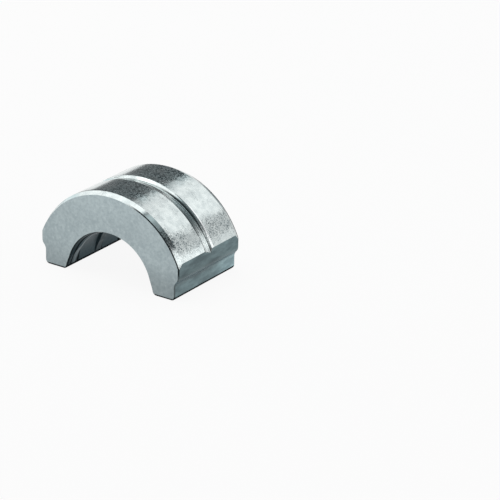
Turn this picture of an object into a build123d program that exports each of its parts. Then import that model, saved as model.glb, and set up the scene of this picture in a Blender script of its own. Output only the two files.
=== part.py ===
from build123d import *
import os
from math import hypot

# One half of a pair of dies for a tool that presses pipe fittings, cut from one piece of steel.
# Sizes in millimetres. It stands on its parting face: the bore's axis lies on the floor along Y,
# X is the width and Z is up. The origin is on that axis, halfway between the two end faces.

# The turned outside, with a long shallow chamfer at each end
body_length = 27.8
outside_radius = 25.0
end_chamfer_length = 1.65
end_chamfer_drop = 0.72

# The retaining groove round the outside: a low front wall, a floor that slopes down from it to a
# valley, and a slanted back wall. It is turned about an axis to the right of the outside's own, so
# it is deeper on the left. Its depths and lengths are those at the crown.
groove_offset = 0.3
groove_width = 3.8
groove_set_forward = 0.2
groove_depth = 0.75
groove_front_wall = 0.3
groove_back_length = 0.8
groove_valley_rounding = 0.3
groove_lip_rounding = 0.5

# The milled sides: a flat above, a narrower foot below, and a soft step of two arcs between them
flat_depth = 2.3
foot_step = 1.2
foot_height = 3.8
step_height = 3.0
foot_corner_radius = 1.2

# The pressing bore, from an end face to the middle: entry, lip, pocket and half of the rib
pocket_radius = 14.2
lip_height = 1.1
lip_land = 0.8
lip_flank_height = 0.4
lip_flank_length = 1.0
lip_back_length = 0.8
lip_rounding = 0.2
pocket_rounding = 0.4
entry_flare = 0.5
entry_length = 1.65
rib_height = 0.6
rib_width = 2.0
rib_flank_length = 0.6
rib_rounding = 0.3

# The mouth: the bore opens out to the parting face on a wider arc struck from below
mouth_relief = 0.2
mouth_drop = 2.6
mouth_corner_radius = 1.2

# The milled edges of the end faces are broken by a small flat
edge_break = 0.3

half_length = body_length / 2
groove_front = -groove_width / 2 - groove_set_forward
groove_back = groove_width / 2 - groove_set_forward
groove_valley = groove_back - groove_back_length
crown_reach = groove_offset + outside_radius
clear_reach = crown_reach + groove_offset + groove_depth
groove_back_clear = groove_back + (clear_reach - crown_reach) * groove_back_length / groove_depth
flat_half_width = outside_radius - flat_depth
foot_half_width = flat_half_width - foot_step
step_top = foot_height + step_height
outline_top = outside_radius + flat_depth
lip_radius = pocket_radius - lip_height
lip_foot_radius = lip_radius + lip_flank_height
entry_radius = lip_foot_radius + entry_flare
entry_end = half_length - entry_length
lip_start = entry_end - lip_flank_length
lip_end = lip_start - lip_land
rib_radius = pocket_radius - rib_height
mouth_half_width = pocket_radius + mouth_relief
mouth_radius = hypot(mouth_half_width, mouth_drop)

# Half of the ring's section, as radius, distance from the middle, and the rounding of that corner
section_points = [
    (outside_radius, 0, 0),
    (outside_radius, half_length - end_chamfer_length, 0),
    (outside_radius - end_chamfer_drop, half_length, 0),
    (entry_radius, half_length, 0),
    (lip_foot_radius, entry_end, 0),
    (lip_radius, lip_start, lip_rounding),
    (lip_radius, lip_end, lip_rounding),
    (pocket_radius, lip_end - lip_back_length, pocket_rounding),
    (pocket_radius, rib_width / 2 + rib_flank_length, rib_rounding),
    (rib_radius, rib_width / 2, rib_rounding),
    (rib_radius, 0, 0),
]
section_corners = [(radius, along) for radius, along, rounding in section_points]
section_roundings = [rounding for radius, along, rounding in section_points[1:-1]]

with BuildPart() as press_jaw_half:
    # The blank is half a turned ring: the section swept from one side over the top to the other
    with BuildSketch(Plane.XY) as ring_section:
        with BuildLine():
            FilletPolyline(*section_corners, radius=section_roundings)
            mirror(about=Plane.XZ)
        make_face()
    revolve(axis=Axis((0, 0, 0), (0, -1, 0)), revolution_arc=180)

    # The groove is turned next, about its own axis, and the lip at its back is rounded. Its section
    # is drawn at the right and reaches out clear of the blank
    with BuildSketch(Plane.XY) as groove_section:
        with BuildLine():
            groove_floor = FilletPolyline(
                (crown_reach - groove_front_wall, groove_front),
                (crown_reach - groove_depth, groove_valley),
                (clear_reach, groove_back_clear),
                radius=groove_valley_rounding,
            )
            Polyline(groove_floor @ 1, (clear_reach, groove_front), groove_floor @ 0)
        make_face()
    revolve(axis=Axis((groove_offset, 0, 0), (0, -1, 0)), revolution_arc=180, mode=Mode.SUBTRACT)
    edges_at_the_crown = press_jaw_half.edges().filter_by(
        lambda edge: edge.bounding_box().max.Z > outside_radius - groove_depth / 2
    )
    groove_lip = edges_at_the_crown.filter_by(
        lambda edge: groove_valley < edge.center().Y < half_length / 2
    )
    fillet(groove_lip, radius=groove_lip_rounding)

    # The sides and feet are milled to one outline, right through from end to end
    with BuildSketch(Plane.XZ) as milled_outline:
        with BuildLine():
            FilletPolyline(
                (0, 0), (foot_half_width, 0), (foot_half_width, foot_height), radius=foot_corner_radius
            )
            hollow = TangentArc(
                (foot_half_width, foot_height),
                (foot_half_width + foot_step / 2, foot_height + step_height / 2),
                tangent=(0, 1),
            )
            TangentArc(hollow @ 1, (flat_half_width, step_top), tangent=hollow % 1)
            Polyline((flat_half_width, step_top), (flat_half_width, outline_top), (0, outline_top))
            mirror(about=Plane.YZ)
        make_face()
    extrude(amount=half_length, both=True, mode=Mode.INTERSECT)

    # The mouth is cut with everything below the parting face, so its corners can be rounded
    with BuildSketch(Plane.XZ) as mouth:
        with Locations((0, -mouth_drop)):
            Circle(mouth_radius)
        Rectangle(2 * flat_half_width, outline_top, align=(Align.CENTER, Align.MAX))
        mouth_corners = mouth.vertices().filter_by(lambda corner: abs(corner.X) < foot_half_width)
        fillet(mouth_corners, radius=mouth_corner_radius)
    extrude(amount=half_length, both=True, mode=Mode.SUBTRACT)

    # On each end face all but the two longest edges, which are turned, were milled and are broken
    faces_along_the_bore = press_jaw_half.faces().filter_by(Axis.Y).sort_by(Axis.Y)
    for end_face in (faces_along_the_bore[0], faces_along_the_bore[-1]):
        chamfer(end_face.edges().sort_by(SortBy.LENGTH)[:-2], length=edge_break)

press_jaw_half.part.label = "press_jaw_half"

os.makedirs("parts", exist_ok=True)
export_step(press_jaw_half.part, "parts/press_jaw_half.step")
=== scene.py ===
from math import cos, pi, radians, sin

import bpy
from mathutils import Matrix, Vector


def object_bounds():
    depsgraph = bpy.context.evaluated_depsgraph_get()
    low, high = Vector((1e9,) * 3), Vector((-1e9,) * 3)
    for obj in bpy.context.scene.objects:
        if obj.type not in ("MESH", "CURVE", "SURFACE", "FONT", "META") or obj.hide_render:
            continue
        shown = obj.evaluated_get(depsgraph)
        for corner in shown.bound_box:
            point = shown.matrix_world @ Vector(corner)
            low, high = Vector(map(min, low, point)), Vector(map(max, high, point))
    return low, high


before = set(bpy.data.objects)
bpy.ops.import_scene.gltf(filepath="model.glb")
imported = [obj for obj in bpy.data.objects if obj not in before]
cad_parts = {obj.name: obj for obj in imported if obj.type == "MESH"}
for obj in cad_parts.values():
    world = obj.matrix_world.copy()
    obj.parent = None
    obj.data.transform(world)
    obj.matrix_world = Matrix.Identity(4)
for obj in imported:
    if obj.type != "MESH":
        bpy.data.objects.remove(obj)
cad_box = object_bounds()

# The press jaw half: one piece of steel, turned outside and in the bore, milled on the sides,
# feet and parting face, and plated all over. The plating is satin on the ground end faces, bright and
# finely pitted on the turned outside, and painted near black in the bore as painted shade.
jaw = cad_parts["press_jaw_half"]

# Its sizes in millimetres. The frame gives how far the sides, end faces and crown reach, and the
# forms that the finish follows are measured from there. A mask starts a skin inside its face, and
# the break, the chamfer's reach and the bore's reach are a little larger than the cut itself
half_width, half_length, outside_radius = [reach * 1000 for reach in cad_box[1]]
skin = 0.02
edge_break = 0.35
end_chamfer_length = 1.65
end_chamfer_reach = 1.2
groove_middle = -0.2
groove_width = 3.8
groove_back_length = 0.8
flat_height = 10.0
foot_height = 3.8
foot_step = 1.2
foot_corner_radius = 1.2
step_height = 3.0
bore_reach = 15.8
lip_setback = 1.4
lip_width = 0.7
pocket_corner = 9.3
rib_corner = 1.35
rib_land = 0.9

break_start = half_length - edge_break
chamfer_start = half_length - end_chamfer_length
chamfer_inside = outside_radius - end_chamfer_reach
groove_front = groove_middle - groove_width / 2
groove_back = groove_middle + groove_width / 2
groove_valley = groove_back - groove_back_length
foot_corner = half_width - foot_step - foot_corner_radius
step_middle = foot_height + step_height / 2
step_top = foot_height + step_height
lip_middle = chamfer_start - lip_setback


class Socket:
    """A shader socket, or with no link a whole node tree, that adds the nodes of an expression."""

    def __init__(self, tree, link=None):
        self.tree = tree
        self.link = link

    def node(self, kind, settings=None, output=0, **sockets):
        """A node of this kind with its settings, then its socket values or links, as its output.

        A socket goes by its name with _ for each space, or by _ and its number.
        """
        made = self.tree.nodes.new(kind)
        for name, value in (settings or {}).items():
            setattr(made, name, value)
        for name, value in sockets.items():
            socket = made.inputs[int(name[1:]) if name[0] == "_" else name.replace("_", " ")]
            if isinstance(value, Socket):
                value.feed(socket)
            else:
                socket.default_value = value
        return Socket(self.tree, made.outputs[output])

    def feed(self, socket):
        """Link this socket to the input of another node."""
        self.tree.links.new(self.link, socket)

    def math(self, operation, *values):
        """A Math node with its values or links in order."""
        inputs = {f"_{number}": value for number, value in enumerate(values)}
        return self.node("ShaderNodeMath", {"operation": operation}, **inputs)

    def __add__(self, other):
        return self.math("ADD", self, other)

    def __sub__(self, other):
        return self.math("SUBTRACT", self, other)

    def __rsub__(self, other):
        return self.math("SUBTRACT", other, self)

    def __mul__(self, other):
        return self.math("MULTIPLY", self, other)

    def __gt__(self, other):
        return self.math("GREATER_THAN", self, other)

    def __lt__(self, other):
        return self.math("LESS_THAN", self, other)

    def __or__(self, other):
        """The larger of the two, which joins two masks."""
        return self.math("MAXIMUM", self, other)

    __radd__ = __add__
    __rmul__ = __mul__
    __ror__ = __or__


plated_steel = bpy.data.materials.new("plated_steel")
plated_steel.use_nodes = True
steel = Socket(plated_steel.node_tree)
place = steel.node("ShaderNodeTexCoord", output="Object")


def along(axis):
    """Millimetres along one axis of the jaw."""
    return steel.node("ShaderNodeSeparateXYZ", Vector=place, output=axis) * 1000


def absolute(value):
    """A value without its sign."""
    return steel.math("ABSOLUTE", value)


def ramp(value, low, high, start_value=0.0, end_value=1.0):
    """A soft step from the start value, at low, to the end value, at high."""
    return steel.node(
        "ShaderNodeMapRange", {"interpolation_type": "SMOOTHSTEP"}, Value=value,
        From_Min=low, From_Max=high, To_Min=start_value, To_Max=end_value,
    )


def band(value, middle, full, faded, strength=1.0):
    """A soft band: its whole strength within the full distance of a middle, none past the faded one."""
    return ramp(absolute(value - middle), full, faded, strength, 0.0)


def noise(scale, detail=2.0, roughness=0.5, stretch=(1, 1, 1)):
    """A cloudy pattern from 0 to 1 with so many patches to a millimetre, stretched along the axes."""
    spread = steel.node("ShaderNodeVectorMath", {"operation": "MULTIPLY"}, _0=place, _1=stretch)
    return steel.node(
        "ShaderNodeTexNoise", Vector=spread, Scale=scale * 1000, Detail=detail, Roughness=roughness
    )


def dots(scale, small, large):
    """Round dots, so many to a millimetre, from solid inside the small radius to nothing at the large."""
    cells = steel.node("ShaderNodeTexVoronoi", Vector=place, Scale=scale * 1000, Randomness=1.0)
    return ramp(cells, small, large, 1.0, 0.0)


def blend(share, first, second):
    """Two numbers mixed by a share."""
    return first + (second - first) * share


def tint(share, first, second):
    """Two colours mixed by a share."""
    return steel.node("ShaderNodeMix", {"data_type": "RGBA"}, output=2, _0=share, _6=first, _7=second)


def shade(colour, factor):
    """A colour made darker or lighter by a factor."""
    return steel.node("ShaderNodeVectorMath", {"operation": "SCALE"}, _0=colour, Scale=factor)


# Where a point lies: its distances, then the surface that it is on
x, y, z = along("X"), along("Y"), along("Z")
from_middle = absolute(x)
along_bore = absolute(y)
from_axis = steel.math("SQRT", x * x + z * z)
right_side = x > 0.0
end_face = along_bore > half_length - skin
flat = from_middle > half_width - skin
foot = (from_middle > foot_corner) * (z < step_top)
milled = flat | foot
bore = (from_axis < bore_reach) * (1 - end_face)
groove = (absolute(y - groove_middle) < groove_width / 2) * (from_axis < outside_radius - skin)
groove = groove * (1 - bore) * (1 - milled)
broken_outside = (from_middle > foot_corner) * (z < flat_height)
broken_edge = (along_bore > break_start) * ((from_axis < bore_reach) | broken_outside)

# Turned outside: bright under soft smears, with fine dark pits low on the sides and where the front is
# rubbed, a mottled crown painted darker as a painted reflection of the dim studio, painted shade low on
# the back band, a painted highlight on the rim behind the groove, and painted shade greying the groove
# and chamfers at mid height
bright_plating = (0.74, 0.80, 0.79, 1)
smear_grey = (0.58, 0.64, 0.64, 1)
mottle_light = (0.70, 0.83, 0.84, 1)
mottle_dark = (0.15, 0.205, 0.215, 1)
pit_dark = (0.08, 0.12, 0.135, 1)
highlight_white = (0.95, 0.98, 0.98, 1)
shade_grey = (0.45, 0.56, 0.57, 1)

smears = ramp(noise(0.45, 4.0, 0.7), 0.34, 0.66)
patches = ramp(noise(0.16, 3.0, 0.6), 0.36, 0.56)
grain = noise(2.2, 2.0, 0.7)
satin = noise(1.1, 3.0, 0.7)
low_pits = ramp(z, 18.5, 15.5) * ramp(z, 10.8, 13.5, 0.25, 1.0) * (patches * 0.8 + 0.2)
stray_pits = ramp(noise(0.35), 0.52, 0.66) * 0.22
rubbed = ramp(y, -9.8, -12.4) * ramp(z, 13.9, 15.2) * ramp(z, 20.5, 17.5) * right_side
pitted = low_pits + rubbed + stray_pits
pits = ramp(grain, 0.52, 0.60) * 0.75 + dots(2.0, 0.2, 0.36) * ramp(noise(0.7), 0.42, 0.58)
pits = pits * pitted
# Painted reflection: the crown's mottle is darker on average than the plating, standing in for the dim
# studio it reflects, most towards the right
crown_mottle_and_dark_reflection = ramp(z, 23.0, 24.3) * ramp(x, -8.0, -1.0, 0.35, 1.0) * (1 - groove) * (along_bore < chamfer_start)
# Painted shade: the back band made darker low down
painted_shade_low_back = ramp(z, 15.0, 11.5) * (y > groove_back)
# Painted highlight: a thin white line on the rim just behind the groove, strongest high up
painted_rim_highlight = band(y, groove_back + 0.05, 0.25, 0.4, 0.8) * ramp(z, 22.0, 19.0)
# Painted shade: the groove and chamfers made greyer at mid height
groove_and_chamfer_shade = (groove | (along_bore > chamfer_start)) * ramp(z, 22.8, 21.4) * ramp(z, 15.0, 18.5)

turned_colour = tint(smears, smear_grey, bright_plating)
mottled_colour = tint(ramp(grain * 0.5 + satin * 0.5, 0.43, 0.57), mottle_dark, mottle_light)
turned_colour = tint(crown_mottle_and_dark_reflection * (patches * 0.6 + 0.4), turned_colour, mottled_colour)
turned_colour = shade(turned_colour, 1 - painted_shade_low_back * 0.27)
turned_colour = tint(pits * 0.8, turned_colour, pit_dark)
turned_colour = tint(painted_rim_highlight, turned_colour, highlight_white)
turned_colour = tint(groove_and_chamfer_shade, turned_colour, shade_grey)
turned_roughness = 0.14 + pitted * 0.08 + crown_mottle_and_dark_reflection * ramp(grain, 0.46, 0.6, 0.02, 0.12)

# End faces: ground to an even satin, with a fine grain, faint clouds and pale flecks, and painted light
# and shade: darker low down, most on the right foot, and lighter near the top
ground_light = (0.49, 0.57, 0.585, 1)
ground_dark = (0.36, 0.43, 0.45, 1)
fleck_pale = (0.58, 0.65, 0.66, 1)

clouds = noise(0.25, 3.0, 0.6)
flecks = ramp(noise(1.1), 0.66, 0.76) * 0.4
# Painted light and shade: darker towards the floor and lighter near the top
painted_height_light = ramp(z, 0.0, 11.0, 0.78, 1.0) * ramp(z, 14.0, outside_radius, 1.0, 1.1)
# Painted shade: the right foot's face darker towards the bottom
right_foot_shade = ramp(z, 11.0, 3.0) * right_side

end_colour = tint(ramp(satin * 0.7 + clouds * 0.3, 0.32, 0.68), ground_dark, ground_light)
end_colour = tint(flecks, end_colour, fleck_pale)
end_colour = shade(end_colour, painted_height_light * (1 - right_foot_shade * 0.14))
end_roughness = 0.42 + (satin - 0.5) * 0.12

# Sides and feet: milled lengthwise in soft streaks; their dark tone is a painted reflection of the dim
# studio, with painted shade in the step and waist and painted light low at the back
milled_shade_light = (0.164, 0.232, 0.245, 1)
milled_shade_dark = (0.093, 0.134, 0.145, 1)
# Painted shade: the step of the sides darkest at its middle
step_shade = (0.045, 0.085, 0.095, 1)
milled_roughness = 0.34

streaks = noise(0.5, 3.0, 0.6, (1, 0.3, 1))
# Painted light and shade: the sides darker at the waist and lighter above and below it, lighter towards
# the back, and lit low on the foot at the back
painted_waist_shade = ramp(z, 2.6, 5.6, 1.18, 0.8) * ramp(z, 6.6, 9.6, 1.0, 1.22)
painted_rear_light = ramp(y, -2.0, 13.0, 0.95, 1.25)
painted_foot_light = ramp(y, 2.0, 12.0) * ramp(z, 6.0, 4.5) * 0.75

side_colour = tint(ramp(streaks, 0.34, 0.66), milled_shade_dark, milled_shade_light)
side_colour = tint(band(z, step_middle, 0.3, 1.3, 0.55), side_colour, step_shade)
side_colour = shade(side_colour, painted_waist_shade * painted_rear_light + painted_foot_light)

# The bore: turned, and painted near black as painted shade inside the hollow, with a painted highlight on
# its lips
painted_bore_light = (0.024, 0.044, 0.053, 1)
painted_bore_dark = (0.009, 0.022, 0.027, 1)
lip_highlight_grey = (0.085, 0.115, 0.125, 1)
bore_roughness = 0.3

# Painted highlight: a lighter ring on the bore's lips
lip_highlight = absolute(along_bore - lip_middle) < lip_width / 2
bore_colour = tint(ramp(satin, 0.3, 0.7), painted_bore_dark, painted_bore_light)
bore_colour = tint(lip_highlight, bore_colour, lip_highlight_grey)

# The broken edges of the end faces: painted shade, thin dark lines standing in for the dark reflection
# along the edges, a little lighter round the feet
edge_shade_light = (0.10, 0.125, 0.13, 1)
edge_shade_dark = (0.05, 0.063, 0.068, 1)
edge_shade_colour = tint(ramp(z, 6.0, 8.5), edge_shade_light, edge_shade_dark)

# The surfaces together, each laid over the one before, on the shader of bare plated metal
colour = tint(bore, turned_colour, bore_colour)
colour = tint(milled, colour, side_colour)
colour = tint(broken_edge, colour, edge_shade_colour)
colour = tint(end_face, colour, end_colour)
roughness = blend(bore, turned_roughness, bore_roughness)
roughness = blend(milled, roughness, milled_roughness)
roughness = blend(end_face, roughness, end_roughness)

shader = steel.tree.nodes["Principled BSDF"]
shader.inputs["Metallic"].default_value = 1.0
colour.feed(shader.inputs["Base Color"])
roughness.feed(shader.inputs["Roughness"])

# Relief of a few hundredths of a millimetre: sunk pits, the turning tool's fine rings in the groove,
# and the grain of the end faces
relief_height = 0.00003
rings = noise(1.5, 2.0, 0.6, (0, 1, 0))
turned_height = (pits * -0.5 + 0.5) * (1 - groove) + groove * rings * 2.2
height = blend(end_face, turned_height, satin * 0.5)
relief = steel.node("ShaderNodeBump", Height=height, Distance=relief_height, Strength=1.0)
relief.feed(shader.inputs["Normal"])

# Dull oxide, thin in the bore and along the step of the sides
oxide_grey = (0.20, 0.30, 0.34, 1)
oxidised = bore * 0.25 + milled * (1 - end_face) * band(z, step_middle, 0.2, 1.0, 0.4)

# Painted shade in near black: dark lines in the groove's valley and front corner, in the bore's corners
# and mouth, along the feet and the chamfer's edge, and a painted dark reflection high on the left of the
# front band; only the streaks rubbed into the front chamfer are grime
shade_and_grime_black = (0.018, 0.026, 0.029, 1)

# Painted shade: dark lines in the groove's valley and front corner, fainter at the crown
valley_width = ramp(z, 13.0, 19.0, 0.02, 0.16)
valley = band(y, groove_valley, valley_width, valley_width + 0.14) * ramp(z, 24.2, 22.3, 0.18, 0.92)
front_corner = band(y, groove_front + 0.45, 0.12, 0.26, 0.65) * ramp(z, 22.0, 20.0)
groove_shade = groove * (valley | front_corner)

# Painted shade: dark rings in the bore's entry, corners and mouth
entry = ramp(along_bore, chamfer_start - 0.25, chamfer_start - 0.05)
entry_shade = entry * ramp(along_bore, half_length - 0.7, half_length - 0.4, 0.5, 0.9)
lip_shade = band(along_bore, chamfer_start, 0.2, 0.4, 0.95)
pocket_shade = band(along_bore, pocket_corner, 0.45, 0.75, 0.9)
rib_shade = band(along_bore, rib_corner, 0.2, 0.45, 0.7) + (along_bore < rib_land) * 0.25
mouth_shade = ramp(z, 1.3, 0.85)
bore_corner_shade = bore * (entry_shade | lip_shade | pocket_shade | rib_shade | mouth_shade)

# Painted shade: a dark line along the bottom edges, where the jaw meets the floor
foot_shade = ramp(z, 0.65, 0.4) | ramp(z, 1.2, 0.95) * (1 - end_face)

rubbed_chamfer = rubbed * (along_bore > chamfer_start) * (1 - end_face)
rubbed_grime = rubbed_chamfer * ramp(grain, 0.42, 0.54, 0.95, 0.3)
# Painted shade: a dark line along the chamfer's outer edge on the right, below the crown
chamfer_end = (along_bore > half_length - 0.4) * (1 - end_face) * (from_axis > chamfer_inside)
chamfer_edge_shade = chamfer_end * right_side * ramp(z, 24.0, 22.5) * 0.95

# Painted reflection: a dark mottled patch high on the left of the front band, next to the chamfer
left_dark_reflection = ramp(y, -10.4, -12.0) * (along_bore < chamfer_start) * (z > 18.0)
left_dark_reflection = left_dark_reflection * ramp(x, -4.0, -7.5) * ramp(x, -15.5, -13.5)
left_reflection_shade = left_dark_reflection * ramp(grain, 0.40, 0.58, 0.85, 0.45)

shade_and_grime = groove_shade | bore_corner_shade | foot_shade | rubbed_grime | chamfer_edge_shade | left_reflection_shade

# The finish: painted shade and grime over oxide over the plated metal
metal = Socket(steel.tree, shader.outputs["BSDF"])
oxide = steel.node("ShaderNodeBsdfDiffuse", Color=oxide_grey)
shade_and_grime_shader = steel.node("ShaderNodeBsdfDiffuse", Color=shade_and_grime_black)
finish = steel.node("ShaderNodeMixShader", _0=oxidised, _1=metal, _2=oxide)
finish = steel.node("ShaderNodeMixShader", _0=shade_and_grime, _1=finish, _2=shade_and_grime_shader)
finish.feed(steel.tree.nodes["Material Output"].inputs["Surface"])
jaw.data.materials.clear()
jaw.data.materials.append(plated_steel)

# The floor: one square sheet of pale paper that the jaw stands on, wide enough to fill every view.
# It shows white to the camera and in the metal, and is matt paper for the light that falls on it.
far = 3.0
corners = [(-far, -far, 0), (far, -far, 0), (far, far, 0), (-far, far, 0)]
floor_mesh = bpy.data.meshes.new("floor")
floor_mesh.from_pydata(corners, [], [(0, 1, 2, 3)])
floor = bpy.data.objects.new("floor", floor_mesh)
bpy.context.scene.collection.objects.link(floor)

paper_white = (0.9, 0.9, 0.9, 1)
glow_share = 0.92
pale_paper = bpy.data.materials.new("pale_paper")
pale_paper.use_nodes = True
paper = Socket(pale_paper.node_tree)
paper.tree.nodes.remove(paper.tree.nodes["Principled BSDF"])
camera_ray = paper.node("ShaderNodeLightPath", output="Is Camera Ray")
glossy_ray = paper.node("ShaderNodeLightPath", output="Is Glossy Ray")
matt = paper.node("ShaderNodeBsdfDiffuse", Color=paper_white)
glow = paper.node("ShaderNodeEmission", Color=(1, 1, 1, 1), Strength=1.0)
sheet = paper.node("ShaderNodeMixShader", _0=(camera_ray | glossy_ray) * glow_share, _1=matt, _2=glow)
sheet.feed(paper.tree.nodes["Material Output"].inputs["Surface"])
floor_mesh.materials.append(pale_paper)

# The lights: big softboxes round a dark grey studio, all at one distance and turned to the jaw.
# A softbox's radiance is how bright it looks in a mirror, where 1 is white.
lit_point = Vector((0, 0, 0.012))
lamp_distance = 1.2


def bearing(azimuth, elevation):
    """The unit vector at so many degrees round from +Y towards +X and so many degrees up."""
    turn, rise = radians(azimuth), radians(elevation)
    return Vector((sin(turn) * cos(rise), cos(turn) * cos(rise), sin(rise)))


def softbox(name, azimuth, elevation, width, height, radiance):
    """A flat lamp at a bearing from the jaw, with its width level and its face turned to the jaw."""
    towards = bearing(azimuth, elevation)
    lamp = bpy.data.lights.new(name, "AREA")
    lamp.shape = "RECTANGLE"
    lamp.size = width
    lamp.size_y = height
    lamp.energy = radiance * pi * width * height
    light = bpy.data.objects.new(name, lamp)
    light.location = lit_point + towards * lamp_distance
    light.rotation_euler = towards.to_track_quat("Z", "Y").to_euler()
    light.visible_camera = False
    bpy.context.scene.collection.objects.link(light)


softbox("back_strip", azimuth=9.5, elevation=37, width=1.06, height=0.30, radiance=1.0)
softbox("back_low", azimuth=34, elevation=9, width=0.70, height=0.25, radiance=1.15)
softbox("back_between", azimuth=36, elevation=21, width=0.60, height=0.31, radiance=0.53)
softbox("back_left_low", azimuth=-29, elevation=7, width=0.30, height=0.26, radiance=1.0)
softbox("left_strip", azimuth=-76, elevation=21, width=0.86, height=1.0, radiance=1.08)
softbox("overhead", azimuth=-100, elevation=73, width=1.5, height=1.1, radiance=1.17)
softbox("overhead_right", azimuth=88, elevation=64, width=0.5, height=0.6, radiance=0.36)
softbox("overhead_edge", azimuth=85, elevation=75, width=0.4, height=0.22, radiance=0.35)
softbox("right_strip", azimuth=78, elevation=24, width=0.80, height=0.36, radiance=1.35)
softbox("right_front", azimuth=126, elevation=27, width=0.3, height=0.4, radiance=0.8)
softbox("front_left", azimuth=245, elevation=44, width=0.65, height=0.6, radiance=1.1)

studio_grey = (0.16, 0.165, 0.17, 1)
world = bpy.data.worlds.new("studio")
bpy.context.scene.world = world
world.use_nodes = True
world.node_tree.nodes["Background"].inputs["Color"].default_value = studio_grey

# The camera: it stands where the photograph was taken from, on a bearing from the point of the
# floor that it aims at, with a long lens and a slight roll.
floor_aim = Vector((0.017566, 0.026962, 0))
towards_camera = bearing(146.141, 22.884)
camera_distance = 0.77283
camera_roll = radians(1.352)
lens = bpy.data.cameras.new("camera")
lens.lens = 202.9
lens.sensor_width = 36
camera = bpy.data.objects.new("camera", lens)
upright = towards_camera.to_track_quat("Z", "Y").to_matrix()
turned = upright @ Matrix.Rotation(camera_roll, 3, "Z")
camera.matrix_world = Matrix.Translation(floor_aim + towards_camera * camera_distance) @ turned.to_4x4()
bpy.context.scene.collection.objects.link(camera)
bpy.context.scene.camera = camera

bpy.context.scene.view_settings.view_transform = "Standard"
